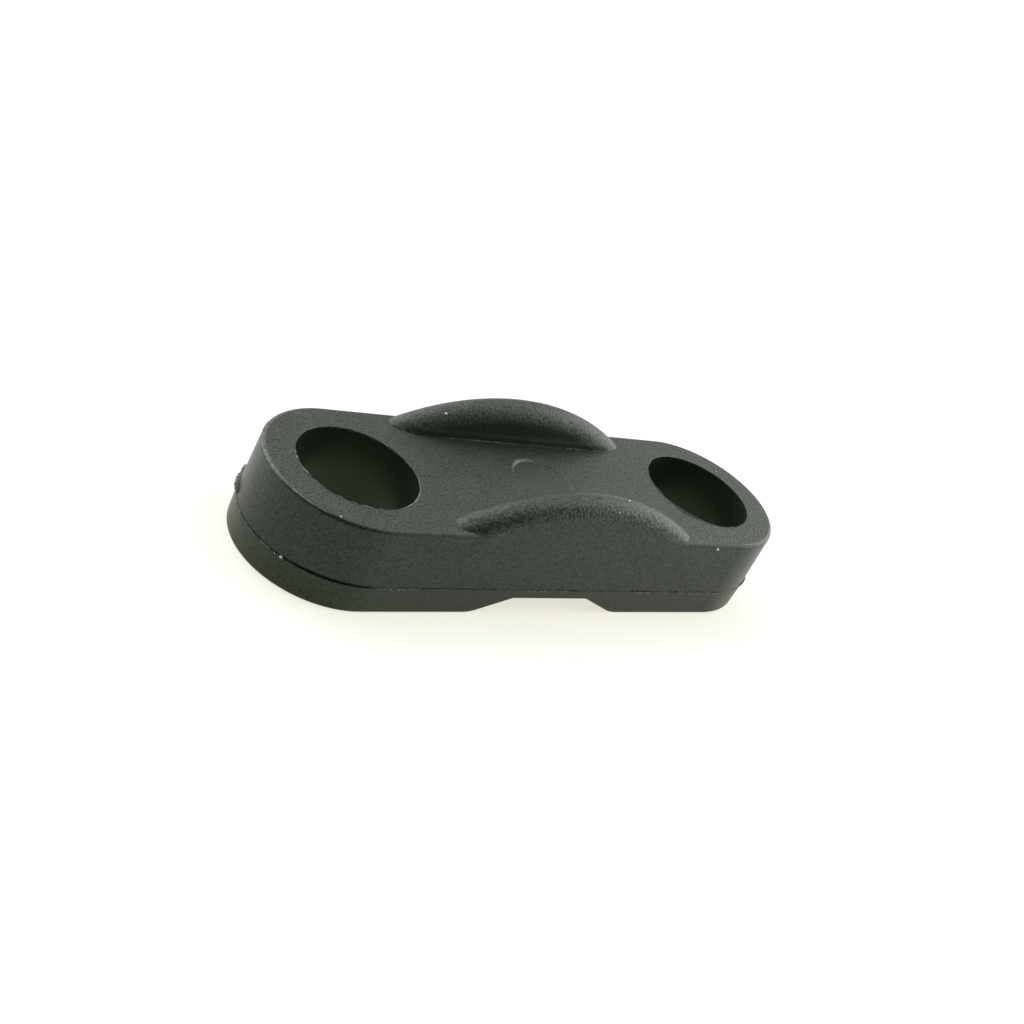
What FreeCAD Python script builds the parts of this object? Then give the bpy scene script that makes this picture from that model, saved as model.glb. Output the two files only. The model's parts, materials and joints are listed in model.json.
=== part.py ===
"""Cable tie mount: one nylon moulding that is screwed down by two holes.

An oblong plate with round ends carries two arched ribs on top, one along each
long side. A bundle lies between the ribs, and a flat tie runs under the plate
through a shallow channel across its underside.

Frame: X along the plate, Y across it, Z up. The origin lies in the mounting
plane, halfway between the two holes. Lengths are millimetres.
"""
import FreeCAD, Part
import math
import os

# Driving dimensions of the plate
HOLE_PITCH = 30.0
HOLE_DIAMETER = 8.4
PLATE_WIDTH = 13.0
PLATE_HEIGHT = 6.5
TOP_EDGE_RADIUS = 0.3
BASE_EDGE_RADIUS = 0.2

# Where the two halves of the mould met
PARTING_HEIGHT = 2.1
PARTING_GROOVE_HEIGHT = 0.08
PARTING_GROOVE_DEPTH = 0.07
PARTING_STEP = 0.05
UPPER_DRAFT_DEG = 1.2
LOWER_DRAFT_DEG = 2.0

# Sink above the parting line, round the front left corner
SINK_ANGLE_DEG = 240.0
SINK_SPAN_DEG = 60.0
SINK_DEPTH = 0.12
SINK_HEIGHT = 0.22

# Arched ribs along the two long sides
RIB_CHORD = 20.3
RIB_HEIGHT = 2.8
RIB_THICKNESS = 2.3
RIB_INNER_DRAFT_DEG = 2.0
RIB_SHOULDER_ANGLE_DEG = 14.0

# Channel for the tie, across the underside and a little off the middle
CHANNEL_MOUTH = 12.4
CHANNEL_FLOOR = 6.4
CHANNEL_DEPTH = 1.3
CHANNEL_OFFSET = -0.4
CHANNEL_MOUTH_RADIUS = 2.5
CHANNEL_FLOOR_RADIUS = 0.8

# Round mark of the ejector in the middle of the top face
EJECTOR_MARK_DIAMETER = 4.8
EJECTOR_MARK_DEPTH = 0.12
EJECTOR_MARK_WALL = 0.2

# Remnants of the gate and of the flash on the parting line
GATE_ANGLE_DEG = 145.0
GATE_LENGTH = 2.4
GATE_REACH = 0.2
GATE_THICKNESS = 0.16
FLASH_ANGLE_DEG = -52.0
FLASH_LENGTH = 2.0
FLASH_REACH = 0.08
FLASH_THICKNESS = 0.2

# How far a cutting or joining solid runs past the face it meets
OVERRUN = 1.0

Z_AXIS = FreeCAD.Vector(0, 0, 1)
Y_AXIS = FreeCAD.Vector(0, 1, 0)


def vector(x, y, z):
    """Point or direction in the part's frame."""
    return FreeCAD.Vector(x, y, z)


def drafted(half_width, rise, draft_deg):
    """Half width left after a wall has risen with draft."""
    return half_width - rise * math.tan(math.radians(draft_deg))


PARTING_HALF_WIDTH = PLATE_WIDTH / 2
BASE_HALF_WIDTH = drafted(PARTING_HALF_WIDTH, PARTING_HEIGHT, LOWER_DRAFT_DEG)
GROOVE_HALF_WIDTH = PARTING_HALF_WIDTH - PARTING_STEP - PARTING_GROOVE_DEPTH
UPPER_FOOT_HEIGHT = PARTING_HEIGHT + PARTING_GROOVE_HEIGHT
UPPER_FOOT_HALF_WIDTH = PARTING_HALF_WIDTH - PARTING_STEP


def upper_wall(height):
    """Half width of the upper wall at a height above the mounting plane."""
    return drafted(UPPER_FOOT_HALF_WIDTH, height - UPPER_FOOT_HEIGHT, UPPER_DRAFT_DEG)


def oblong_wire(half_width, height):
    """Closed oblong outline whose round ends are centred on the two holes."""
    centre = HOLE_PITCH / 2
    right_front = vector(centre, -half_width, height)
    right_back = vector(centre, half_width, height)
    left_back = vector(-centre, half_width, height)
    left_front = vector(-centre, -half_width, height)
    right_tip = vector(centre + half_width, 0, height)
    left_tip = vector(-centre - half_width, 0, height)
    edges = [
        Part.makeLine(left_front, right_front),
        Part.Arc(right_front, right_tip, right_back).toShape(),
        Part.makeLine(right_back, left_back),
        Part.Arc(left_back, left_tip, left_front).toShape(),
    ]
    return Part.Wire(edges)


def oblong_slab(low_half_width, low, high_half_width, high):
    """Solid between two oblong outlines, with straight drafted walls."""
    wires = [oblong_wire(low_half_width, low), oblong_wire(high_half_width, high)]
    return Part.makeLoft(wires, True, True)


def rounded_rim(solid, height, radius):
    """Round the whole outline of a slab at one of its flat faces."""
    rim = [
        edge
        for edge in solid.Edges
        if all(abs(vertex.Z - height) < 1e-6 for vertex in edge.Vertexes)
    ]
    return solid.makeFillet(radius, rim)


def cross_edges(solid, height):
    """Straight edges of the channel that run across the plate at one height."""
    return [
        edge
        for edge in solid.Edges
        if edge.BoundBox.XLength < 1e-4
        and edge.BoundBox.YLength > PARTING_HALF_WIDTH
        and abs(edge.BoundBox.ZMin - height) < 1e-4
    ]


def make_lower_half():
    """Lower half of the plate with the channel and one soft edge all round."""
    half = oblong_slab(BASE_HALF_WIDTH, 0.0, PARTING_HALF_WIDTH, PARTING_HEIGHT)
    half = half.cut(make_channel())
    half = half.makeFillet(CHANNEL_MOUTH_RADIUS, cross_edges(half, 0.0))
    half = half.makeFillet(CHANNEL_FLOOR_RADIUS, cross_edges(half, CHANNEL_DEPTH))
    rim = [
        edge
        for edge in half.Edges
        if edge.BoundBox.XLength > 1e-4
        and all(vertex.Z < PARTING_HEIGHT - 1e-4 for vertex in edge.Vertexes)
    ]
    return half.makeFillet(BASE_EDGE_RADIUS, rim)


def make_plate():
    """Lower half, witness groove and upper half of the plate."""
    lower = make_lower_half()
    neck = oblong_slab(
        GROOVE_HALF_WIDTH, PARTING_HEIGHT, GROOVE_HALF_WIDTH, UPPER_FOOT_HEIGHT
    )
    upper = oblong_slab(
        UPPER_FOOT_HALF_WIDTH, UPPER_FOOT_HEIGHT, upper_wall(PLATE_HEIGHT), PLATE_HEIGHT
    )
    upper = rounded_rim(upper, PLATE_HEIGHT, TOP_EDGE_RADIUS)
    return lower.fuse([neck, upper])


def make_rib():
    """Arched rib on the +Y side, its outer face in line with the plate's wall.

    A disc with a round rim stands on the plate's side, its axis along Y and far
    below the crest. A tapered bar along X trims it to the rib's section: the
    bar's outer face is the plate's drafted wall carried upwards, and its inner
    face leans the other way. Below the round rim the disc flares at the
    shoulder angle, so the rim meets both faces of the bar at that angle.
    """
    half_chord = RIB_CHORD / 2
    arch_radius = (half_chord ** 2 + RIB_HEIGHT ** 2) / (2 * RIB_HEIGHT)
    crest = PLATE_HEIGHT + RIB_HEIGHT
    axis_height = crest - arch_radius
    root = PLATE_HEIGHT - OVERRUN
    root_half = math.sqrt(arch_radius ** 2 - (root - axis_height) ** 2)

    inner_face = upper_wall(PLATE_HEIGHT) - RIB_THICKNESS
    lean = math.tan(math.radians(RIB_INNER_DRAFT_DEG))
    top = crest + OVERRUN
    section = Part.makePolygon([
        vector(-root_half, inner_face - (PLATE_HEIGHT - root) * lean, root),
        vector(-root_half, upper_wall(root), root),
        vector(-root_half, upper_wall(top), top),
        vector(-root_half, inner_face + (top - PLATE_HEIGHT) * lean, top),
        vector(-root_half, inner_face - (PLATE_HEIGHT - root) * lean, root),
    ])
    bar = Part.Face(section).extrude(vector(2 * root_half, 0, 0))

    crest_inner = inner_face + RIB_HEIGHT * lean
    crest_middle = (upper_wall(crest) + crest_inner) / 2
    crest_half = (upper_wall(crest) - crest_inner) / 2
    angle = math.radians(RIB_SHOULDER_ANGLE_DEG)
    rim_radius = crest_half / math.cos(angle)
    shoulder = crest - rim_radius * (1 - math.sin(angle))
    flared_half = crest_half + (shoulder - axis_height) * math.tan(angle)
    inner_shoulder = vector(0, crest_middle - crest_half, shoulder)
    outer_shoulder = vector(0, crest_middle + crest_half, shoulder)
    inner_hub = vector(0, crest_middle - flared_half, axis_height)
    outer_hub = vector(0, crest_middle + flared_half, axis_height)
    rim = Part.Arc(inner_shoulder, vector(0, crest_middle, crest), outer_shoulder)
    half_disc = Part.Wire([
        rim.toShape(),
        Part.makeLine(outer_shoulder, outer_hub),
        Part.makeLine(outer_hub, inner_hub),
        Part.makeLine(inner_hub, inner_shoulder),
    ])
    disc = Part.Face(half_disc).revolve(vector(0, 0, axis_height), Y_AXIS, 360)
    return disc.common(bar)


def mirrored(solid):
    """The same solid on the other long side."""
    return solid.mirror(vector(0, 0, 0), Y_AXIS)


def make_channel():
    """Cutting solid for the tie channel, with sloping ramps at both sides."""
    slope = (CHANNEL_MOUTH - CHANNEL_FLOOR) / 2 / CHANNEL_DEPTH
    low_half = CHANNEL_MOUTH / 2 + OVERRUN * slope
    floor_half = CHANNEL_FLOOR / 2
    front = -PARTING_HALF_WIDTH - OVERRUN
    outline = Part.makePolygon([
        vector(CHANNEL_OFFSET - low_half, front, -OVERRUN),
        vector(CHANNEL_OFFSET + low_half, front, -OVERRUN),
        vector(CHANNEL_OFFSET + floor_half, front, CHANNEL_DEPTH),
        vector(CHANNEL_OFFSET - floor_half, front, CHANNEL_DEPTH),
        vector(CHANNEL_OFFSET - low_half, front, -OVERRUN),
    ])
    return Part.Face(outline).extrude(Y_AXIS * (PLATE_WIDTH + 2 * OVERRUN))


def make_holes():
    """Cutting cylinders for the two screw holes."""
    return [
        Part.makeCylinder(
            HOLE_DIAMETER / 2,
            PLATE_HEIGHT + 2 * OVERRUN,
            vector(side * HOLE_PITCH / 2, 0, -OVERRUN),
            Z_AXIS,
        )
        for side in (-1, 1)
    ]


def make_ejector_mark():
    """Cutting cone for the shallow round mark with a sloping wall on the top face."""
    floor = PLATE_HEIGHT - EJECTOR_MARK_DEPTH
    floor_radius = EJECTOR_MARK_DIAMETER / 2 - EJECTOR_MARK_WALL
    return Part.makeCone(
        floor_radius,
        floor_radius + 2 * EJECTOR_MARK_WALL,
        2 * EJECTOR_MARK_DEPTH,
        vector(0, 0, floor),
        Z_AXIS,
    )


def make_sink():
    """Cutting solid for the sink, deepest in the middle and running out at both ends.

    A block over the front left corner loses a cylinder that is a little larger than
    the end wall and stands a little further back, so that what is left is a sickle.
    """
    half_span = math.radians(SINK_SPAN_DEG / 2)
    shift = SINK_DEPTH / (1 - math.cos(half_span))
    keep_radius = UPPER_FOOT_HALF_WIDTH + shift * math.cos(half_span)
    angle = math.radians(SINK_ANGLE_DEG)
    reach = PARTING_HALF_WIDTH + OVERRUN
    end_centre = -HOLE_PITCH / 2
    corner = vector(end_centre - reach, -reach, PARTING_HEIGHT)
    block = Part.makeBox(reach, reach, SINK_HEIGHT, corner)
    place = vector(
        end_centre - shift * math.cos(angle), -shift * math.sin(angle), PARTING_HEIGHT
    )
    return block.cut(Part.makeCylinder(keep_radius, SINK_HEIGHT, place, Z_AXIS))


def make_remnant(angle_deg, length, reach, thickness):
    """Lens of left-over plastic on the parting line of a round end.

    A disc stands out of the end wall by the reach, and its two ends run
    into the wall over the given length.
    """
    half = length / 2
    wall = PARTING_HALF_WIDTH
    sag = wall - math.sqrt(wall ** 2 - half ** 2)
    bulge = reach + sag
    disc_radius = (half ** 2 + bulge ** 2) / (2 * bulge)
    angle = math.radians(angle_deg)
    end_centre = math.copysign(HOLE_PITCH / 2, math.cos(angle))
    disc_place = wall + reach - disc_radius
    base = vector(
        end_centre + disc_place * math.cos(angle),
        disc_place * math.sin(angle),
        PARTING_HEIGHT - thickness / 2,
    )
    return Part.makeCylinder(disc_radius, thickness, base, Z_AXIS)


def make_tie_mount():
    """The whole moulding as one solid."""
    rib = make_rib()
    gate = make_remnant(GATE_ANGLE_DEG, GATE_LENGTH, GATE_REACH, GATE_THICKNESS)
    flash = make_remnant(FLASH_ANGLE_DEG, FLASH_LENGTH, FLASH_REACH, FLASH_THICKNESS)
    body = make_plate().fuse([rib, mirrored(rib), gate, flash])
    body = body.cut([make_ejector_mark(), make_sink()] + make_holes())
    return body.removeSplitter()


def main():
    """Write the part's one node."""
    os.makedirs("parts", exist_ok=True)
    solid = make_tie_mount().Solids[0]
    solid.exportStep("parts/tie_mount.step")


main()
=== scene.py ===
"""Dressed cable tie mount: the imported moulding, its plastic and its moulding marks.

Everything is in metres in the part's own frame: X along the plate, Y across it,
Z up from the mounting plane, the origin halfway between the two holes.
"""
import json
import logging
import math
from dataclasses import dataclass, field
from enum import Enum

import bpy
import numpy as np
from mathutils import Matrix, Vector


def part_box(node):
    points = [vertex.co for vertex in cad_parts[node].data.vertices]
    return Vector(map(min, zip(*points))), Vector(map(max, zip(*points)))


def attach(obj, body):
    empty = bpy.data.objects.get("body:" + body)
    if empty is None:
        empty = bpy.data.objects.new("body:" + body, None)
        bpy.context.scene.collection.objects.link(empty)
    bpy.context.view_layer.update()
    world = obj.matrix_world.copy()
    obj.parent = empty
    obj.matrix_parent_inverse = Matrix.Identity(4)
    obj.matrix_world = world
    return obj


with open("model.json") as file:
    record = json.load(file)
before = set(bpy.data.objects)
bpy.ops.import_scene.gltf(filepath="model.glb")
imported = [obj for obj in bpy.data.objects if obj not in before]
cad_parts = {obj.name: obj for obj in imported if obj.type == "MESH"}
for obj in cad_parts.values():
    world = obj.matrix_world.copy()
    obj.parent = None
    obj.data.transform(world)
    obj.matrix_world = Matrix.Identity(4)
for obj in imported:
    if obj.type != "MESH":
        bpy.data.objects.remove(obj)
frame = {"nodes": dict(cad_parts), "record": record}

MM = 0.001
LOG = logging.getLogger("tie_mount")
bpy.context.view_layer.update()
UP = np.array((0.0, 0.0, 1.0))
NOISE_HEIGHTS = 257
Colour = tuple[float, float, float, float]
Span = tuple[float, float]


class Side(Enum):
    """End of the plate, as the sign of its X."""

    LEFT = -1
    RIGHT = 1


@dataclass(frozen=True)
class PlateForm:
    """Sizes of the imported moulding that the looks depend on, in metres."""

    hole_pitch: float
    hole_radius: float
    top: float
    half_width: float
    crest: float
    parting: float = 2.1 * MM
    groove_depth: float = 0.07 * MM
    foot_step: float = 0.05 * MM
    draft: float = math.tan(math.radians(1.2))
    top_wall: float = 6.36 * MM
    mark_radius: float = 2.4 * MM
    rib_inner: float = 4.06 * MM
    rib_radius: float = 20.3 * MM

    @classmethod
    def from_frame(cls) -> "PlateForm":
        """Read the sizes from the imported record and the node's box.

        Returns:
            The form of the plate as packed.
        """
        mounts = {mount["name"]: mount for mount in frame["record"]["mounts"]}
        hole = mounts["right_screw_hole"]
        low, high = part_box("tie_mount")
        return cls(
            hole_pitch=2 * hole["pos_m"][0],
            hole_radius=hole["dims"]["r_mm"] * MM,
            top=hole["dims"]["length_mm"] * MM,
            half_width=(high.y - low.y) / 2,
            crest=high.z,
        )

    def outline(self, length: np.ndarray, half_width: float) -> tuple[np.ndarray, np.ndarray]:
        """Points of an oblong outline at given lengths along it.

        The length starts at the left end of the front straight and runs to the
        right. After the straight comes a half circle about the right hole. The
        second half of the outline is the first one turned by half a turn.

        Args:
            length: Lengths along the outline, which may be negative.
            half_width: Half the width of the outline.

        Returns:
            Points and outward unit vectors, each as rows of X, Y and Z.
        """
        half = self.hole_pitch + math.pi * half_width
        place = np.mod(length, 2 * half)
        turned = np.where(place >= half, -1.0, 1.0)
        local = np.mod(place, half)
        angle = np.maximum(local - self.hole_pitch, 0.0) / half_width - math.pi / 2
        out = spokes(angle)
        point = out * half_width
        point[:, 0] += np.minimum(local, self.hole_pitch) - self.hole_pitch / 2
        return point * turned[:, None], out * turned[:, None]


def spokes(angle: np.ndarray) -> np.ndarray:
    """Level unit vectors at given angles from +X towards +Y.

    Args:
        angle: Angles in radians.

    Returns:
        Rows of X, Y and Z.
    """
    return np.stack([np.cos(angle), np.sin(angle), np.zeros_like(angle)], axis=-1)


def value_noise(length: np.ndarray, step: float, seed: int) -> np.ndarray:
    """Ragged but smooth values between 0 and 1 along a line.

    Random heights stand at even steps, and a smooth step joins each to the next.

    Args:
        length: Places along the line.
        step: Distance between two random heights.
        seed: Seed of the random heights.

    Returns:
        One value for each place.
    """
    heights = np.random.default_rng(seed).random(NOISE_HEIGHTS)
    cell = np.floor(length / step)
    part = length / step - cell
    part = part * part * (3 - 2 * part)
    first = cell.astype(int) % heights.size
    return heights[first] * (1 - part) + heights[(first + 1) % heights.size] * part


def ragged_noise(length: np.ndarray, steps: Span, seeds: tuple[int, int], share: float) -> np.ndarray:
    """Fine and coarse value noise added up to values between 0 and 1.

    Args:
        length: Places along the line.
        steps: Steps of the fine and of the coarse noise.
        seeds: Seeds of the fine and of the coarse noise.
        share: Share of the fine noise.

    Returns:
        One value for each place.
    """
    fine, coarse = (value_noise(length, step, seed) for step, seed in zip(steps, seeds))
    return fine * share + coarse * (1 - share)


class Section(Enum):
    """Cross-section of a swept shell, as the number of its corners."""

    ROUND = 10
    BOX = 4


class Shells:
    """Closed swept shells gathered into one mesh."""

    def __init__(self, section: Section = Section.ROUND) -> None:
        """Start with no shell.

        Args:
            section: Cross-section of all shells.
        """
        self.section = section
        self.points: list[np.ndarray] = []
        self.faces: list[list[int]] = []
        self.count = 0

    def sweep(self, path: np.ndarray, out: np.ndarray, up: np.ndarray,
              reach: np.ndarray, rise: np.ndarray) -> None:
        """Sweep a cross-section along a path.

        A point is path + out * reach * cos(a) + up * rise * sin(a), widened so that the
        flat sides touch that ellipse, with the angle a running once around it and all
        arrays running along the path. The path direction crossed with up points along
        out. Each end gets a flat cap.

        Args:
            path: Middle of the ellipse along the path, rows of X, Y and Z.
            out: Unit vectors of the first half axis, or one for the whole path.
            up: Unit vectors of the second half axis, or one for the whole path.
            reach: Lengths of the first half axis.
            rise: Lengths of the second half axis.
        """
        step = 2 * math.pi / self.section.value
        angle = (np.arange(self.section.value) + 0.5) * step
        widen = 1 / math.cos(step / 2)
        out, up = np.broadcast_to(out, path.shape), np.broadcast_to(up, path.shape)
        first = out[:, None] * (reach[:, None] * np.cos(angle) * widen)[..., None]
        second = up[:, None] * (rise[:, None] * np.sin(angle) * widen)[..., None]
        points = path[:, None] + first + second
        index = np.arange(points[..., 0].size).reshape(points.shape[:2]) + self.count
        here, there = index[:-1], index[1:]
        quads = np.stack([here, there, np.roll(there, -1, axis=1), np.roll(here, -1, axis=1)], axis=-1)
        self.faces += quads.reshape(-1, 4).tolist()
        self.faces += [index[0].tolist(), index[-1, ::-1].tolist()]
        self.points.append(points.reshape(-1, 3))
        self.count += index.size

    def piece(self, name: str, material: bpy.types.Material) -> bpy.types.Object:
        """Make the gathered shells one piece that rides on the part.

        Args:
            name: Name of the piece.
            material: Its finish.

        Returns:
            The new object.
        """
        mesh = bpy.data.meshes.new(name)
        mesh.from_pydata(np.concatenate(self.points).tolist(), [], self.faces)
        if self.section is Section.ROUND:
            mesh.shade_smooth()
        mesh.materials.append(material)
        piece = bpy.data.objects.new(name, mesh)
        bpy.context.scene.collection.objects.link(piece)
        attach(piece, "root")
        return piece


class NodeBoard:
    """Small helper that adds and links the nodes of one node tree."""

    noise_span: Span = (0.3, 0.7)

    def __init__(self, tree: bpy.types.NodeTree) -> None:
        """Start with an empty tree.

        Args:
            tree: Node tree of a material or of the world.
        """
        self.tree = tree
        self.tree.nodes.clear()

    def add(self, kind: str, **settings: object) -> bpy.types.Node:
        """Add a node and set its properties and unlinked inputs.

        Args:
            kind: Blender's node type name.
            settings: Properties by name, or inputs by name with spaces as underscores.

        Returns:
            The new node.
        """
        node = self.tree.nodes.new(kind)
        for name, value in settings.items():
            if hasattr(node, name):
                setattr(node, name, value)
            else:
                self.feed(node.inputs[name.replace("_", " ")], value)
        return node

    def feed(self, socket: bpy.types.NodeSocket, value: object) -> None:
        """Link an output to a socket, or set the socket's own value.

        Args:
            socket: Input socket to fill.
            value: Output socket, number or tuple.
        """
        if isinstance(value, bpy.types.NodeSocket):
            self.tree.links.new(value, socket)
        else:
            socket.default_value = value

    def math(self, operation: str, *values: object) -> bpy.types.NodeSocket:
        """Add a Math node.

        Args:
            operation: Name of the operation.
            values: Output sockets or numbers, in order.

        Returns:
            Its value output.
        """
        node = self.tree.nodes.new("ShaderNodeMath")
        node.operation = operation
        for socket, value in zip(node.inputs, values):
            self.feed(socket, value)
        return node.outputs[0]

    def product(self, first: bpy.types.NodeSocket, *others: object) -> bpy.types.NodeSocket:
        """Product of several values.

        Args:
            first: Output socket to start from.
            others: Output sockets or numbers.

        Returns:
            The product.
        """
        for other in others:
            first = self.math("MULTIPLY", first, other)
        return first

    def ramp(self, value: bpy.types.NodeSocket, low: float, high: float,
             start: float = 0.0, end: float = 1.0) -> bpy.types.NodeSocket:
        """Smooth step of a value between two limits.

        Args:
            value: Output socket to read.
            low: Value at which the result is start.
            high: Value at which the result is end.
            start: Result at the low limit.
            end: Result at the high limit.

        Returns:
            The stepped value.
        """
        node = self.tree.nodes.new("ShaderNodeMapRange")
        node.interpolation_type = "SMOOTHSTEP"
        self.feed(node.inputs["Value"], value)
        for name, number in (("From Min", low), ("From Max", high), ("To Min", start), ("To Max", end)):
            node.inputs[name].default_value = number
        return node.outputs["Result"]

    def edge(self, value: bpy.types.NodeSocket, place: float, span: Span,
             start: float = 0.0, end: float = 1.0) -> bpy.types.NodeSocket:
        """Smooth step of a value over a span about a place.

        Args:
            value: Output socket to read.
            place: Value from which the span is measured.
            span: Start and end of the step, less the place.
            start: Result before the span.
            end: Result after the span.

        Returns:
            The stepped value.
        """
        return self.ramp(value, place + span[0], place + span[1], start, end)

    def noise(self, place: bpy.types.NodeSocket, size: float, detail: float = 2.0) -> bpy.types.NodeSocket:
        """Noise of a given size around 0.5.

        Args:
            place: Coordinates to read.
            size: Size of a blob in metres.
            detail: How many finer layers are added.

        Returns:
            The noise value.
        """
        return self.add("ShaderNodeTexNoise", Vector=place, Scale=1 / size, Detail=detail).outputs["Fac"]

    def blend(self, factor: bpy.types.NodeSocket, first: object, second: object) -> bpy.types.NodeSocket:
        """Colour between two colours.

        Args:
            factor: Share of the second colour.
            first: Colour or output socket at 0.
            second: Colour or output socket at 1.

        Returns:
            The mixed colour.
        """
        node = self.tree.nodes.new("ShaderNodeMix")
        node.data_type = "RGBA"
        self.feed(node.inputs["Factor"], factor)
        sockets = [socket for socket in node.inputs if socket.type == "RGBA"]
        self.feed(sockets[0], first)
        self.feed(sockets[1], second)
        return next(socket for socket in node.outputs if socket.type == "RGBA")

    def tone(self, value: bpy.types.NodeSocket, dark: Colour, light: Colour) -> bpy.types.NodeSocket:
        """Colour between two tones.

        Args:
            value: Noise around 0.5 that picks the tone.
            dark: Colour at the low end.
            light: Colour at the high end.

        Returns:
            The mixed colour.
        """
        return self.blend(self.ramp(value, *self.noise_span), dark, light)


def new_material(name: str) -> tuple[bpy.types.Material, NodeBoard]:
    """Start a material with an empty node tree.

    Args:
        name: Name of the material.

    Returns:
        The material and the board for its nodes.
    """
    material = bpy.data.materials.new(name)
    material.use_nodes = True
    return material, NodeBoard(material.node_tree)


@dataclass(frozen=True)
class PlateMap:
    """Distances on the moulding, as sockets of one node tree.

    The value of side is the distance from the plate's long axis, of bore that from the
    axis of the nearer hole, and of middle that from the middle of the plate. The walls
    lean in by their draft, so they lie at one value of wall: the distance from the line
    between the holes, plus draft times height. The ribs' crests lie at one value of arc:
    the height, plus half the square of X over the ribs' radius. The value of rib is 0
    along the middle of a rib and grows outwards.
    """

    place: bpy.types.NodeSocket
    height: bpy.types.NodeSocket
    side: bpy.types.NodeSocket
    bore: bpy.types.NodeSocket
    middle: bpy.types.NodeSocket
    wall: bpy.types.NodeSocket
    arc: bpy.types.NodeSocket
    rib: bpy.types.NodeSocket

    @classmethod
    def read(cls, board: NodeBoard, form: PlateForm) -> "PlateMap":
        """Add the nodes that work the distances out.

        Args:
            board: Board of the material.
            form: Sizes of the plate.

        Returns:
            The distances at the shaded place.
        """
        place = board.add("ShaderNodeTexCoord").outputs["Object"]
        axes = board.add("ShaderNodeSeparateXYZ", Vector=place)
        x, y, z = (axes.outputs[name] for name in "XYZ")
        side = board.math("ABSOLUTE", y)
        from_hole = board.math("SUBTRACT", board.math("ABSOLUTE", x), form.hole_pitch / 2)
        past_hole = board.math("MAXIMUM", from_hole, 0.0)
        across = board.math("MULTIPLY", y, y)
        bore, middle, out = (
            board.math("SQRT", board.math("MULTIPLY_ADD", along, along, across))
            for along in (from_hole, x, past_hole))
        return cls(
            place=place,
            height=z,
            side=side,
            bore=bore,
            middle=middle,
            wall=board.math("MULTIPLY_ADD", z, form.draft, out),
            arc=board.math("MULTIPLY_ADD", board.product(x, x), 0.5 / form.rib_radius, z),
            rib=board.math("SUBTRACT", side, (form.rib_inner + form.top_wall) / 2),
        )


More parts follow.
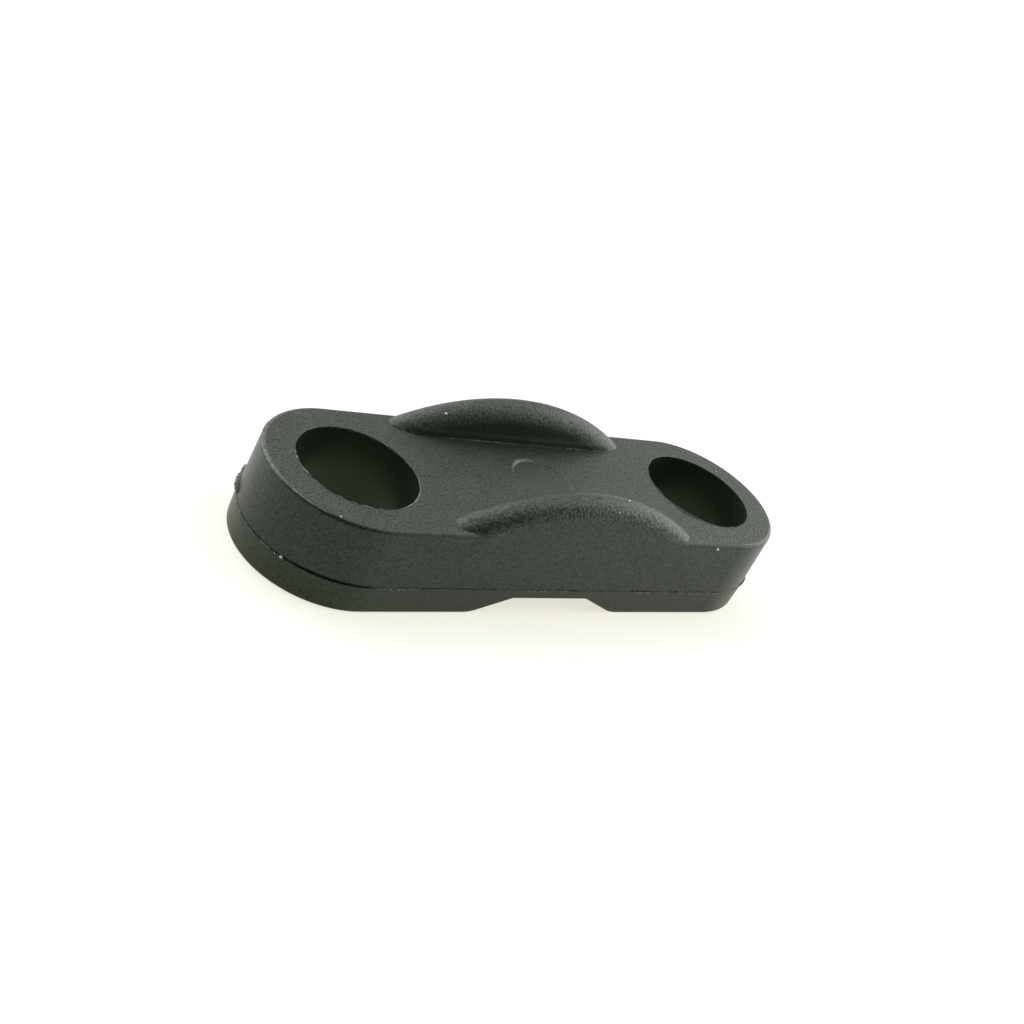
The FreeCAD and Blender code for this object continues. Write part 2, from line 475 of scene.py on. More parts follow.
@dataclass(frozen=True)
class NylonFinish:
    """Black nylon: tone, gloss and the spark-eroded grain of the mould.

    Each grain is a share of the full grain depth. Each span says how far before and after
    the edge of a region its finish changes. The pits' weaker shine is painted shade; the walls'
    greener tint is a painted reflection tint, and the bores' greener tone and tint are painted
    colour of their shade.
    """

    dark: Colour = (0.014, 0.0188, 0.0132, 1.0)
    light: Colour = (0.019, 0.0238, 0.0172, 1.0)
    # Greener tone of the bore walls: painted colour of the shade in the bores.
    bore_painted_shade_tone: Colour = (0.0135, 0.0205, 0.0115, 1.0)
    top_sheen: Colour = (0.85, 1.0, 0.85, 1.0)
    # Greener reflection tint of the walls: a painted tint of the light they reflect.
    wall_painted_reflection_tint: Colour = (0.82, 1.0, 0.75, 1.0)
    # Reflection tint of the bores: painted colour of the shade in the bores.
    bore_painted_shade_tint: Colour = (0.73, 1.0, 0.62, 1.0)
    tone_size: float = 1.6 * MM
    grain_roughness: float = 0.36
    band_roughness: float = 0.38
    bore_roughness: float = 0.34
    rib_roughness: float = 0.4
    grain_size: float = 0.18 * MM
    grain_depth: float = 0.045 * MM
    # Strength of the painted shade in the grain's pits, through their weaker shine.
    grain_pit_shade: float = 1.8
    wall_grain: float = 0.5
    mark_grain: float = 0.35
    crest_grain: float = 0.75
    shoulder_grain: float = 1.2
    inner_shoulder_grain: float = 0.8
    band_grain: float = 0.9
    inner_grain: float = 0.25
    rib_softness: float = 0.8 * MM
    inner_softness: float = 1.3 * MM
    bevel_samples: int = 6
    ior: float = 1.43
    bore_span: Span = (0.01 * MM, 0.06 * MM)
    mark_span: Span = (-0.2 * MM, 0.0)
    parting_span: Span = (-0.1 * MM, 0.2 * MM)
    wall_span: Span = (-0.35 * MM, -0.1 * MM)
    foot_span: Span = (0.0, 0.1 * MM)
    inner_span: Span = (0.15 * MM, 0.45 * MM)
    crest_span: Span = (-1.6 * MM, -0.9 * MM)
    shoulder_span: Span = (0.3 * MM, 0.9 * MM)
    middle_span: Span = (-0.2 * MM, 0.2 * MM)
    soft_span: Span = (0.1 * MM, 0.6 * MM)
    rough_span: Span = (0.2 * MM, 1.4 * MM)

    def material(self, form: PlateForm) -> bpy.types.Material:
        """Build the procedural material for the moulding.

        The grain is a noise of bumps about the grain size, and its pits shine less than
        its tips, which is painted shade in the pits. Walls and bores shine a little greener
        than the top, a painted tint of the light they reflect, and the bores have a greener
        tone, painted colour of their shade. A bevel shader softens the edges of the ribs, the
        inner ones more than the outer ones.

        Args:
            form: Sizes of the plate.

        Returns:
            The new material.
        """
        material, board = new_material("black_nylon")
        spots = PlateMap.read(board, form)
        off_bore = board.edge(spots.bore, form.hole_radius, self.bore_span)
        upper = board.edge(spots.height, form.parting, self.parting_span)
        foot = form.half_width - form.foot_step + form.draft * form.parting
        wall = board.edge(spots.wall, foot, self.wall_span)
        depth = board.product(
            off_bore,
            self.smoother(board, form, spots, wall),
            self.rib_grain(board, form, spots),
            board.ramp(upper, 0.0, 1.0, self.band_grain, 1.0),
        )
        grain = board.noise(spots.place, self.grain_size)
        # Pits of the grain shine less than its tips: painted shade in the pits.
        gloss = board.product(board.math("SUBTRACT", grain, 0.5), depth)
        gloss = board.math("MULTIPLY_ADD", gloss, self.grain_pit_shade, 0.5)
        soft = board.product(
            board.edge(spots.height, form.top, self.soft_span),
            board.ramp(spots.rib, *self.middle_span, self.inner_softness, self.rib_softness),
        )
        bevel = board.add("ShaderNodeBevel", samples=self.bevel_samples, Radius=soft)
        bump = board.add("ShaderNodeBump", Strength=1.0, Distance=self.grain_depth,
                         Height=board.product(grain, depth), Normal=bevel.outputs["Normal"])
        rougher = board.product(board.edge(spots.height, form.top, self.rough_span),
                                self.rib_roughness - self.grain_roughness)
        outside = board.ramp(upper, 0.0, 1.0, self.band_roughness, self.grain_roughness)
        rough = board.add("ShaderNodeMapRange", Value=off_bore, To_Min=self.bore_roughness,
                          To_Max=board.math("ADD", outside, rougher))
        tone = board.tone(board.noise(spots.place, self.tone_size), self.dark, self.light)
        # The walls' greener reflection tint is a painted tint of the light they reflect.
        sheen = board.blend(wall, self.top_sheen, self.wall_painted_reflection_tint)
        # Bore walls take the greener tone and tint: painted colour of their shade.
        shader = board.add(
            "ShaderNodeBsdfPrincipled",
            Base_Color=board.blend(off_bore, self.bore_painted_shade_tone, tone),
            Roughness=rough.outputs["Result"],
            Normal=bump.outputs["Normal"],
            Specular_IOR_Level=gloss,
            Specular_Tint=board.blend(off_bore, self.bore_painted_shade_tint, sheen),
            IOR=self.ior,
        )
        board.add("ShaderNodeOutputMaterial", Surface=shader.outputs["BSDF"])
        return material

    def smoother(self, board: NodeBoard, form: PlateForm, spots: PlateMap,
                 wall: bpy.types.NodeSocket) -> bpy.types.NodeSocket:
        """Share of the grain on the walls, on the round mark and inside the ribs.

        The mould leaves the walls, the round mark and the foot of the ribs' inner faces
        smoother. Near the ribs' crests the grain stays.

        Args:
            board: Board of the material.
            form: Sizes of the plate.
            spots: Distances on the moulding.
            wall: 1 on the walls and 0 elsewhere.

        Returns:
            The share.
        """
        on_rib = board.edge(spots.height, form.top, self.foot_span)
        near_crest = board.edge(spots.arc, form.crest, self.crest_span)
        below = board.math("SUBTRACT", 1.0, board.product(on_rib, near_crest))
        inner = board.edge(spots.side, form.rib_inner, self.inner_span, 1.0 - self.inner_grain, 0.0)
        return board.product(
            board.edge(spots.middle, form.mark_radius, self.mark_span, self.mark_grain, 1.0),
            board.math("SUBTRACT", 1.0, board.product(on_rib, inner, below)),
            board.ramp(board.product(wall, below), 0.0, 1.0, 1.0, self.wall_grain),
        )

    def rib_grain(self, board: NodeBoard, form: PlateForm, spots: PlateMap) -> bpy.types.NodeSocket:
        """Share of the grain across a rib, from its crest to its two shoulders.

        Args:
            board: Board of the material.
            form: Sizes of the plate.
            spots: Distances on the moulding.

        Returns:
            The share, which is 1 off the ribs.
        """
        on_rib = board.edge(spots.height, form.top, self.foot_span)
        shoulder = board.ramp(board.math("ABSOLUTE", spots.rib), *self.shoulder_span)
        change = board.ramp(spots.rib, *self.middle_span, self.inner_shoulder_grain - self.crest_grain,
                            self.shoulder_grain - self.crest_grain)
        rib = board.math("MULTIPLY_ADD", shoulder, change, self.crest_grain - 1.0)
        return board.math("MULTIPLY_ADD", on_rib, rib, 1.0)


@dataclass(frozen=True)
class ScrapFinish:
    """Thin left-over plastic or dust: paler than the moulding and uneven in tone."""

    name: str
    dark: Colour
    light: Colour
    roughness: float = 0.45
    patch_size: float = 0.25 * MM
    ior: float = 1.45

    def material(self) -> bpy.types.Material:
        """Build the procedural material.

        Returns:
            The new material.
        """
        material, board = new_material(self.name)
        place = board.add("ShaderNodeTexCoord").outputs["Object"]
        patch = board.noise(place, self.patch_size)
        shader = board.add(
            "ShaderNodeBsdfPrincipled",
            Base_Color=board.tone(patch, self.dark, self.light),
            Roughness=self.roughness,
            IOR=self.ior,
        )
        board.add("ShaderNodeOutputMaterial", Surface=shader.outputs["BSDF"])
        return material


# Paler thin plastic of flash, burrs, gate and root line: partly stress whitening, partly a painted
# highlight.
FLASH_AND_HIGHLIGHT = ScrapFinish("thin_nylon_and_highlight", dark=(0.028, 0.038, 0.026, 1.0), light=(0.115, 0.138, 0.1, 1.0))
DUST = ScrapFinish("pale_dust", dark=(0.45, 0.46, 0.42, 1.0), light=(0.75, 0.76, 0.72, 1.0),
                   roughness=0.6, patch_size=0.08 * MM)


@dataclass
class Moulding:
    """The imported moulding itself, dressed in its plastic."""

    form: PlateForm
    finish: NylonFinish = field(default_factory=NylonFinish)

    def dress(self) -> bpy.types.Object:
        """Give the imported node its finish.

        Returns:
            The node's object.
        """
        node = frame["nodes"]["tie_mount"]
        node.data.materials.clear()
        node.data.materials.append(self.finish.material(self.form))
        return node


class FlashKind(Enum):
    """Place of a stretch of flash: over the groove, or on the lip below it."""

    SKIN = "flash_skin"
    LIP = "flash_lip"


@dataclass(frozen=True)
class FlashRun:
    """One stretch of flash along the parting line, with lengths in millimetres.

    Lengths along the outline start at the left end of the front straight and grow to
    the right. The cover is the share of the stretch that the flash covers, and the
    rise is half the height of a bead on the lip.
    """

    kind: FlashKind
    start: float
    end: float
    cover: float
    rise: float = 0.05


@dataclass
class PartingFlash:
    """Ragged skin over the groove on the parting line, and pale beads on the lip below, their paleness
    partly a painted highlight.
    """

    form: PlateForm
    runs: tuple[FlashRun, ...] = (
        FlashRun(FlashKind.SKIN, -13.8, -10.4, 0.9),
        FlashRun(FlashKind.LIP, -13.0, -10.0, 0.75, 0.06),
        FlashRun(FlashKind.LIP, -10.0, -6.2, 0.6, 0.05),
        FlashRun(FlashKind.SKIN, -0.3, 3.7, 1.0),
        FlashRun(FlashKind.LIP, 0.3, 3.5, 0.75, 0.1),
        FlashRun(FlashKind.SKIN, 3.7, 5.5, 0.25),
        FlashRun(FlashKind.LIP, 3.9, 6.4, 0.55, 0.08),
        FlashRun(FlashKind.SKIN, 5.4, 6.5, 0.9),
        FlashRun(FlashKind.SKIN, 6.4, 9.4, 0.4),
        FlashRun(FlashKind.LIP, 6.4, 9.2, 0.55, 0.07),
        FlashRun(FlashKind.SKIN, 9.3, 13.1, 0.9),
        FlashRun(FlashKind.LIP, 11.4, 12.1, 0.95, 0.11),
        FlashRun(FlashKind.LIP, 12.2, 13.0, 0.75, 0.08),
        FlashRun(FlashKind.SKIN, 13.0, 16.3, 0.5),
        FlashRun(FlashKind.LIP, 13.1, 14.0, 1.1, 0.12),
        FlashRun(FlashKind.LIP, 13.9, 15.8, 0.75, 0.09),
        FlashRun(FlashKind.SKIN, 16.2, 21.6, 0.65),
        FlashRun(FlashKind.LIP, 16.4, 20.2, 0.45, 0.08),
        FlashRun(FlashKind.LIP, 21.7, 23.5, 0.9, 0.1),
        FlashRun(FlashKind.SKIN, 23.4, 30.2, 0.6),
        FlashRun(FlashKind.LIP, 23.4, 25.2, 0.8, 0.09),
        FlashRun(FlashKind.LIP, 26.0, 28.4, 0.65, 0.08),
        FlashRun(FlashKind.LIP, 28.6, 30.4, 0.8, 0.1),
        FlashRun(FlashKind.SKIN, 30.0, 35.5, 1.0),
        FlashRun(FlashKind.SKIN, 36.0, 84.0, 0.8),
    )
    step: float = 0.06 * MM
    tooth: float = 0.22 * MM
    coarse_tooth: float = 0.66 * MM
    lean_step: float = 0.88 * MM
    fine_share: float = 0.6
    cut: float = 0.85
    steepness: float = 3.0
    end_steepness: float = 6.0
    coarse_seed: int = 50
    shape_seed: int = 90
    reach: float = 0.05 * MM
    skin_height: float = 1.2
    lip: float = 0.012 * MM
    bead: float = 0.001 * MM
    side_bead: float = 0.1
    sunk: float = 0.6
    least_rise: float = 0.4
    lean: float = math.radians(24.0)
    lean_range: float = 0.2

    def build(self, nylon: bpy.types.Material) -> list[bpy.types.Object]:
        """Sweep one shell for each stretch, and gather them by their place.

        Args:
            nylon: Finish of the moulding, for the skin.

        Returns:
            The skin and the beads on the lip, each as one piece.
        """
        gathered = {kind: Shells(Section.BOX) for kind in FlashKind}
        add = {FlashKind.SKIN: self.add_skin, FlashKind.LIP: self.add_lip}
        for seed, run in enumerate(self.runs):
            count = int((run.end - run.start) * MM / self.step)
            add[run.kind](gathered[run.kind], run, np.linspace(run.start, run.end, count) * MM, seed)
        finishes = {FlashKind.SKIN: nylon, FlashKind.LIP: FLASH_AND_HIGHLIGHT.material()}
        return [shells.piece(kind.value, finishes[kind]) for kind, shells in gathered.items()]

    def bite(self, run: FlashRun, length: np.ndarray, seed: int) -> np.ndarray:
        """How far a stretch comes out, from 0 to 1.

        Two layers of value noise come and go around the cover, and a clipped sine over
        the stretch lets both ends sink in.

        Args:
            run: The stretch.
            length: Places along the outline.
            seed: Seed of its raggedness.

        Returns:
            One value for each place.
        """
        steps, seeds = (self.tooth, self.coarse_tooth), (seed, seed + self.coarse_seed)
        tooth = ragged_noise(length, steps, seeds, self.fine_share)
        fade = np.clip(np.sin(np.linspace(0, math.pi, length.size)) * self.end_steepness, 0.0, 1.0)
        return np.clip((tooth - self.cut + run.cover) * self.steepness, 0.0, 1.0) * fade

    def add_skin(self, shells: Shells, run: FlashRun, length: np.ndarray, seed: int) -> None:
        """Sweep a leaning bar that bridges the groove.

        The bar's outer face starts near the edge of the lower half and leans back into
        the upper wall, at an angle that value noise varies. Where the skin is missing,
        the bar lies back in the groove.

        Args:
            shells: Where the shell goes.
            run: The stretch.
            length: Places along the outline.
            seed: Seed of its raggedness.
        """
        form = self.form
        back = self.lip + form.groove_depth * (1 - self.bite(run, length, seed))
        middle, out = form.outline(length, form.half_width)
        change = value_noise(length, self.lean_step, seed + self.shape_seed) - 0.5
        angle = self.lean + self.lean_range * change
        lean_in, lean_up = np.sin(angle)[:, None], np.cos(angle)[:, None]
        up = UP * lean_up - out * lean_in
        face = out * lean_up + UP * lean_in
        size = np.full(length.size, self.reach)
        foot = middle - out * back[:, None] + UP * form.parting
        shells.sweep(foot + (up - face) * self.reach, face, up, size, self.skin_height * size)

    def add_lip(self, shells: Shells, run: FlashRun, length: np.ndarray, seed: int) -> None:
        """Sweep a bar that lies in the outer edge of the lower half.

        The bar's outer face lies just outside the lip where the flash stands, and inside
        it elsewhere, and never outside the lip's upper edge. At the two ends of the plate
        it lies deepest, so that it stays in the moulding's box. Value noise varies the
        height of the bar below the parting line.

        Args:
            shells: Where the shell goes.
            run: The stretch.
            length: Places along the outline.
            seed: Seed of its raggedness.
        """
        form = self.form
        bite = self.bite(run, length, seed)
        middle, out = form.outline(length, form.half_width)
        change = value_noise(length, self.tooth, seed + self.shape_seed)
        rise = run.rise * MM * (self.least_rise + (1 - self.least_rise) * change) * (0.5 + 0.5 * bite)
        size = np.full(length.size, self.reach)
        inset = self.bead * (self.side_bead + (1 - self.side_bead) * np.abs(out[:, 0]))
        inset += self.sunk * self.reach * (1 - bite)
        path = middle - out * (inset + size)[:, None]
        path[:, 2] = form.parting + self.lip - rise
        shells.sweep(path, out, UP, size, rise)


class BurrLook(Enum):
    """Look of a burr: pale, partly whitened by stress and partly a painted highlight, or as dark as the
    moulding.
    """

    PALE = "pale_burrs_and_highlights"
    DARK = "dark_burrs"


@dataclass(frozen=True)
class BurrArc:
    """One stretch of burr on a round edge, with sizes in millimetres.

    The angles are degrees about the axis of that end's hole. The thread is the size
    between the teeth, and the cover is the share of the stretch that has teeth.
    """

    look: BurrLook
    side: Side
    start: float
    end: float
    thread: float
    tooth: float
    cover: float
    spacing: float = 0.3


@dataclass
class EdgeBurrs:
    """Ragged burrs on the rims of the holes and on the outer edge of the left end."""

    form: PlateForm
    hole_arcs: tuple[BurrArc, ...] = (
        # Pale arcs on the left hole's rim: partly a painted highlight of the rim.
        BurrArc(BurrLook.PALE, Side.LEFT, 284.0, 352.0, 0.022, 0.035, 0.6),
        BurrArc(BurrLook.PALE, Side.LEFT, 152.0, 284.0, 0.012, 0.065, 0.45),
        BurrArc(BurrLook.DARK, Side.LEFT, -8.0, 152.0, 0.02, 0.1, 0.7, 0.22),
        BurrArc(BurrLook.DARK, Side.RIGHT, 0.0, 359.0, 0.015, 0.07, 0.25, 0.45),
    )
    # Pale burrs on the left end's top edge: their paleness is partly a painted highlight of that edge.
    edge_arcs: tuple[BurrArc, ...] = (
        BurrArc(BurrLook.PALE, Side.LEFT, 134.0, 212.0, 0.075, 0.06, 0.7, 0.22),
        BurrArc(BurrLook.PALE, Side.LEFT, 208.0, 230.0, 0.03, 0.06, 0.5, 0.22),
    )
    edge_inset: float = 0.09 * MM
    step: float = 0.05 * MM
    hole_seed: int = 200
    edge_seed: int = 300
    coarse_seed: int = 7
    coarse: float = 4.0
    noise_turn: float = 1.0
    fine_share: float = 0.7
    cut: float = 0.8
    steepness: float = 2.5
    tip: float = 0.02
    taper: float = 0.4
    flatness: float = 0.8

    def build(self, nylon: bpy.types.Material) -> list[bpy.types.Object]:
        """Sweep one shell for each stretch, and gather them by their look.

        Args:
            nylon: Finish of the moulding, for the dark burrs.

        Returns:
            The pale and the dark burrs, each as one piece.
        """
        form = self.form
        gathered = {look: Shells() for look in BurrLook}
        for seed, arc in enumerate(self.hole_arcs, self.hole_seed):
            self.add_arc(gathered[arc.look], arc, form.hole_radius, form.top, seed)
        radius, height = form.top_wall - self.edge_inset, form.top - self.edge_inset
        for seed, arc in enumerate(self.edge_arcs, self.edge_seed):
            self.add_arc(gathered[arc.look], arc, radius, height, seed)
        finishes = {BurrLook.PALE: FLASH_AND_HIGHLIGHT.material(), BurrLook.DARK: nylon}
        return [shells.piece(look.value, finishes[look]) for look, shells in gathered.items()]

    def add_arc(self, shells: Shells, arc: BurrArc, radius: float, height: float, seed: int) -> None:
        """Sweep a ragged ellipse along a part of a circle.

        Value noise sets the size of the ellipse, from the thread up to a full tooth,
        and a sine over the stretch thins both ends.

        Args:
            shells: Where the shell goes.
            arc: The stretch.
            radius: Radius of the circle.
            height: Height of the circle above the mounting plane.
            seed: Seed of its raggedness.
        """
        count = int(math.radians(arc.end - arc.start) * radius / self.step)
        turn = np.radians(np.linspace(arc.start, arc.end, count))
        out = spokes(turn)
        length = (turn + self.noise_turn) * radius
        steps = (arc.spacing * MM, self.coarse * arc.spacing * MM)
        tooth = ragged_noise(length, steps, (seed, seed + self.coarse_seed), self.fine_share)
        nib = np.clip((tooth - self.cut + arc.cover) * self.steepness, 0.0, 1.0)
        fade = np.sin(np.linspace(self.tip, math.pi - self.tip, count)) ** self.taper
        size = (arc.thread + arc.tooth * nib) * fade * MM
        path = out * radius
        path[:, 0] += arc.side.value * self.form.hole_pitch / 2
        path[:, 2] = height
        shells.sweep(path, out, UP, size, self.flatness * size)


@dataclass
class GateTear:
    """Torn fin where the runner was broken off the left end."""

    form: PlateForm
    start_deg: float = 127.0
    end_deg: float = 161.0
    reach: float = 0.36 * MM
    root: float = 0.16 * MM
    thickness: float = 0.05 * MM
    edge: float = 0.01 * MM
    lift: float = 0.16 * MM
    climb: float = 0.2 * MM
    climb_step: float = 0.7 * MM
    thickness_step: float = 0.25 * MM
    coarse_step: float = 0.4 * MM
    fine_step: float = 0.12 * MM
    least_reach: float = 0.55
    coarse_share: float = 0.45
    fine_share: float = 0.25
    least_swell: float = 0.6
    swell_range: float = 0.8
    taper: float = 0.4
    seeds: tuple[int, int, int, int] = (11, 12, 13, 14)
    count: int = 120

    def build(self) -> bpy.types.Object:
        """Sweep a thin flat ellipse along the end wall.

        The fin starts at its root inside the wall. Value noise makes its reach and its
        thickness ragged, a sine lets both fall off at the two ends, and the fin's middle
        climbs and falls above the parting line.

        Returns:
            The fin as one piece.
        """
        form = self.form
        turn = np.radians(np.linspace(self.start_deg, self.end_deg, self.count))
        out = spokes(turn)
        length = turn * form.half_width
        fade = np.sin(np.linspace(0, math.pi, self.count)) ** self.taper
        steps = (self.coarse_step, self.fine_step, self.climb_step, self.thickness_step)
        coarse, fine, climb, swell = (
            value_noise(length, step, seed) for step, seed in zip(steps, self.seeds))
        ragged = self.least_reach + self.coarse_share * coarse - self.fine_share * fine
        reach = (self.reach * ragged * fade + self.root) / 2
        path = out * (form.half_width - self.root + reach)[:, None]
        path[:, 0] += Side.LEFT.value * form.hole_pitch / 2
        path[:, 2] = form.parting + self.lift + self.climb * climb
        swell = self.least_swell + self.swell_range * swell
        rise = self.thickness / 2 * swell * fade + self.edge
        shells = Shells()
        shells.sweep(path, out, UP, reach, rise)
        return shells.piece("gate_tear", FLASH_AND_HIGHLIGHT.material())


@dataclass
class RootLine:
    """Thin broken pale line of flash along the inner root of the rear rib, its paleness partly a painted
    highlight of the root.
    """

    form: PlateForm
    start: float = -6.2 * MM
    end: float = 8.2 * MM
    radius: float = 0.038 * MM
    step: float = 0.06 * MM
    gaps: Span = (0.35 * MM, 1.3 * MM)
    noise_start: float = 1000.0 * MM
    seeds: tuple[int, int] = (31, 32)
    fine_share: float = 0.6
    cut: float = 0.4
    steepness: float = 2.5
    thread: float = 0.1
    most: float = 1.1

    def build(self) -> bpy.types.Object:
        """Sweep a thin ragged thread along the root.

        Returns:
            The line as one piece.
        """
        count = int((self.end - self.start) / self.step)
        x = np.linspace(self.end, self.start, count)
        path = np.stack([x, np.full(count, self.form.rib_inner), np.full(count, self.form.top)], axis=-1)
        tooth = ragged_noise(x + self.noise_start, self.gaps, self.seeds, self.fine_share)
        size = self.radius * (self.thread + np.clip((tooth - self.cut) * self.steepness, 0.0, self.most))
        shells = Shells()
        shells.sweep(path, np.array((0.0, 1.0, 0.0)), UP, size, size)
        return shells.piece("root_line", FLASH_AND_HIGHLIGHT.material())


@dataclass
class DustSpecks:
    """Few pale specks that lie on the moulding: X, Y, Z and radius in millimetres."""

    places: tuple[tuple[float, float, float, float], ...] = (
        (-6.54, 4.7, 8.04, 0.09),
        (2.9, -5.2, 9.08, 0.09),
        (12.44, -6.34, 6.14, 0.15),
        (-18.54, -5.04, 6.48, 0.06),
        (-20.31, -3.74, 2.1, 0.11),
        (-20.57, -3.33, 2.05, 0.05),
        (19.06, 2.73, 6.5, 0.05),
        (1.61, -6.12, 8.78, 0.05),
    )
    count: int = 9
    tip: float = 0.05
    flatness: float = 0.8

    def build(self) -> bpy.types.Object:
        """Sweep one round grain at each place, its radius the sine of the way across.

        Returns:
            The specks as one piece.
        """
        shells = Shells()
        way = np.linspace(self.tip, math.pi - self.tip, self.count)
        out = np.array((0.0, -1.0, 0.0))
        for *place, radius in self.places:
            size = radius * MM
            path = np.tile(np.array(place) * MM, (self.count, 1))
            path[:, 0] -= size * np.cos(way)
            shells.sweep(path, out, UP, size * np.sin(way), self.flatness * size * np.sin(way))
        return shells.piece("dust_specks", DUST.material())


@dataclass(frozen=True)
class CameraPlace:
    """Where the photograph was taken from, relative to the part."""

    aim: tuple[float, float, float] = (-0.436 * MM, 0.755 * MM, 3.0 * MM)
    distance: float = 105.37 * MM
    azimuth_deg: float = -44.88
    elevation_deg: float = 28.88
    roll_deg: float = 28.74
    lens: float = 52.82
    sensor_width: float = 36.0
    clip_start: float = 1.0 * MM

    def build(self) -> bpy.types.Object:
        """Make the camera, turned about its own axis by the roll.

        Returns:
            The camera object, set as the scene's camera.
        """
        azimuth, elevation, roll = (
            math.radians(angle) for angle in (self.azimuth_deg, self.elevation_deg, self.roll_deg))
        back = Vector((math.sin(azimuth) * math.cos(elevation),
                       -math.cos(azimuth) * math.cos(elevation),
                       math.sin(elevation)))
        level = (-back).cross(Vector((0, 0, 1))).normalized()
        upright = level.cross(-back)
        right = level * math.cos(roll) + upright * math.sin(roll)
        top = right.cross(-back)
        data = bpy.data.cameras.new("camera")
        data.sensor_fit = "HORIZONTAL"
        data.sensor_width = self.sensor_width
        data.lens = self.lens
        data.clip_start = self.clip_start
        camera = bpy.data.objects.new("camera", data)
        turn = Matrix((right, top, back)).transposed().to_4x4()
        camera.matrix_world = Matrix.Translation(Vector(self.aim) + back * self.distance) @ turn
        bpy.context.scene.collection.objects.link(camera)
        bpy.context.scene.camera = camera
        return camera


@dataclass(frozen=True)
class Softbox:
    """Soft round patch of light in the tent, its azimuth turned from +X towards +Y."""

    azimuth_deg: float
    elevation_deg: float
    inner_deg: float
    outer_deg: float
    strength: float

    def axis(self) -> tuple[float, float, float]:
        """Direction from the part to the middle of the patch.

        Returns:
            The unit vector.
        """
        azimuth, elevation = math.radians(self.azimuth_deg), math.radians(self.elevation_deg)
        flat = math.cos(elevation)
        return (flat * math.cos(azimuth), flat * math.sin(azimuth), math.sin(elevation))


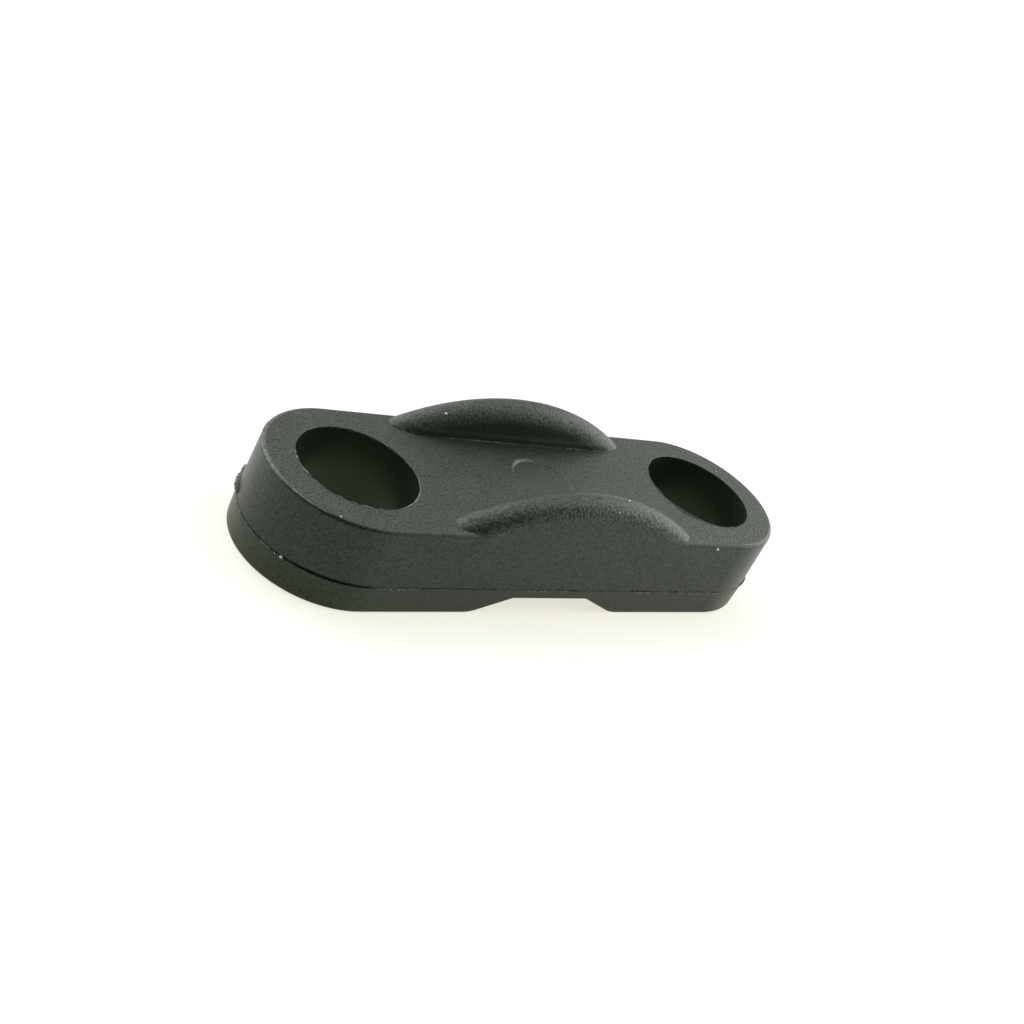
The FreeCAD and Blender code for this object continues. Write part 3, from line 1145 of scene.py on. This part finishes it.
@dataclass
class Studio:
    """White table and light tent around the part."""

    floor_half: float = 0.6
    floor_colour: Colour = (0.3, 0.3, 0.3, 1.0)
    # Warm glow close to the part: painted warm shade.
    warm_shade_glow: Colour = (1.0, 0.985, 0.86, 1.0)
    glow_far: Colour = (1.0, 1.0, 1.0, 1.0)
    near_far: Span = (0.5 * MM, 8.0 * MM)
    floor_glow: float = 0.73
    tent_colour: Colour = (1.0, 1.0, 1.0, 1.0)
    tent_bright: float = 0.7
    tent_dark: float = 0.02
    open_side_deg: float = -45.0
    open_span: Span = (-0.25, 0.6)
    surround_deg: Span = (5.0, 9.0)
    softboxes: tuple[Softbox, ...] = (
        Softbox(-8.0, 18.0, 15.0, 48.0, 2.2),
        Softbox(115.0, 28.0, 18.0, 50.0, 2.5),
        Softbox(45.0, 78.0, 18.0, 42.0, 1.5),
    )

    def build_floor(self, form: PlateForm) -> bpy.types.Object:
        """Lay the table top: one flat square at the mounting plane.

        Args:
            form: Sizes of the plate that stands on it.

        Returns:
            The floor object.
        """
        side = np.array((-self.floor_half, self.floor_half))
        xs, ys = np.meshgrid(side, side, indexing="ij")
        points = np.stack([xs, ys, np.zeros_like(xs)], axis=-1).reshape(-1, 3)
        mesh = bpy.data.meshes.new("table")
        mesh.from_pydata(points.tolist(), [], [(0, 2, 3, 1)])
        mesh.materials.append(self.floor_material(form))
        floor = bpy.data.objects.new("table", mesh)
        bpy.context.scene.collection.objects.link(floor)
        return floor

    def floor_material(self, form: PlateForm) -> bpy.types.Material:
        """White table top that still takes the part's shadow.

        Its glow is a little warm close to the part, a painted warm shade around it, and
        turns white away from it. The distance is taken to the line between the two holes.

        Args:
            form: Sizes of the plate that stands on it.

        Returns:
            The new material.
        """
        material, board = new_material("table_white")
        diffuse = board.add("ShaderNodeBsdfDiffuse", Color=self.floor_colour)
        path = board.add("ShaderNodeLightPath")
        seen = board.math("MAXIMUM", path.outputs["Is Camera Ray"], path.outputs["Is Glossy Ray"])
        seen = board.math("MAXIMUM", seen, path.outputs["Is Transmission Ray"])
        strength = board.math("MULTIPLY", seen, self.floor_glow)
        axes = board.add("ShaderNodeSeparateXYZ", Vector=board.add("ShaderNodeTexCoord").outputs["Object"])
        x, y = axes.outputs["X"], axes.outputs["Y"]
        past_hole = board.math("SUBTRACT", board.math("ABSOLUTE", x), form.hole_pitch / 2)
        past_hole = board.math("MAXIMUM", past_hole, 0.0)
        squares = board.math("MULTIPLY_ADD", past_hole, past_hole, board.math("MULTIPLY", y, y))
        away = board.math("SUBTRACT", board.math("SQRT", squares), form.half_width)
        # Warm near the part as painted warm shade, white further away.
        colour = board.blend(board.ramp(away, *self.near_far), self.warm_shade_glow, self.glow_far)
        glow = board.add("ShaderNodeEmission", Color=colour, Strength=strength)
        both = board.add("ShaderNodeAddShader")
        board.feed(both.inputs[0], diffuse.outputs["BSDF"])
        board.feed(both.inputs[1], glow.outputs["Emission"])
        board.add("ShaderNodeOutputMaterial", Surface=both.outputs["Shader"])
        return material

    def build_tent(self) -> bpy.types.World:
        """Light tent as the world: pale behind the part, dark on its open side.

        Each softbox is a soft round patch of the world around its axis, and a low white
        surround closes the tent all round at table height.

        Returns:
            The scene's world.
        """
        world = bpy.data.worlds.new("light_tent")
        world.use_nodes = True
        bpy.context.scene.world = world
        board = NodeBoard(world.node_tree)
        direction = board.add("ShaderNodeTexCoord").outputs["Generated"]
        azimuth = math.radians(self.open_side_deg)
        side = self.dot(board, direction, (math.sin(azimuth), -math.cos(azimuth), 0.0))
        strength = board.ramp(side, *self.open_span, self.tent_bright, self.tent_dark)
        for box in self.softboxes:
            toward = self.dot(board, direction, box.axis())
            outer, inner = math.cos(math.radians(box.outer_deg)), math.cos(math.radians(box.inner_deg))
            strength = board.math("ADD", strength, board.ramp(toward, outer, inner, 0.0, box.strength))
        low, high = (math.sin(math.radians(angle)) for angle in self.surround_deg)
        height = self.dot(board, direction, (0.0, 0.0, 1.0))
        strength = board.math("MAXIMUM", strength, board.ramp(height, low, high, 1.0, 0.0))
        background = board.add("ShaderNodeBackground", Color=self.tent_colour, Strength=strength)
        board.add("ShaderNodeOutputWorld", Surface=background.outputs["Background"])
        return world

    @staticmethod
    def dot(board: NodeBoard, direction: bpy.types.NodeSocket,
            axis: tuple[float, ...]) -> bpy.types.NodeSocket:
        """Cosine between the looked-at direction and an axis.

        Args:
            board: Board of the world.
            direction: Looked-at direction.
            axis: Unit vector of the axis.

        Returns:
            The cosine.
        """
        node = board.add("ShaderNodeVectorMath", operation="DOT_PRODUCT")
        board.feed(node.inputs[0], direction)
        node.inputs[1].default_value = axis
        return node.outputs["Value"]

    def build(self, form: PlateForm) -> None:
        """Lay the floor and raise the tent.

        Args:
            form: Sizes of the plate.
        """
        self.build_floor(form)
        self.build_tent()
        bpy.context.scene.view_settings.view_transform = "Standard"


def main() -> None:
    """Build the dressed part in order and report each piece."""
    logging.basicConfig(level=logging.INFO, format="%(name)s: %(message)s")
    form = PlateForm.from_frame()
    moulding = Moulding(form).dress()
    nylon = moulding.data.materials[0]
    pieces = [
        moulding,
        GateTear(form).build(),
        RootLine(form).build(),
        DustSpecks().build(),
        *PartingFlash(form).build(nylon),
        *EdgeBurrs(form).build(nylon),
    ]
    for piece in pieces:
        LOG.info("built %s with %d faces", piece.name, len(piece.data.polygons))
    Studio().build(form)
    CameraPlace().build()


if __name__ == "__main__":
    main()
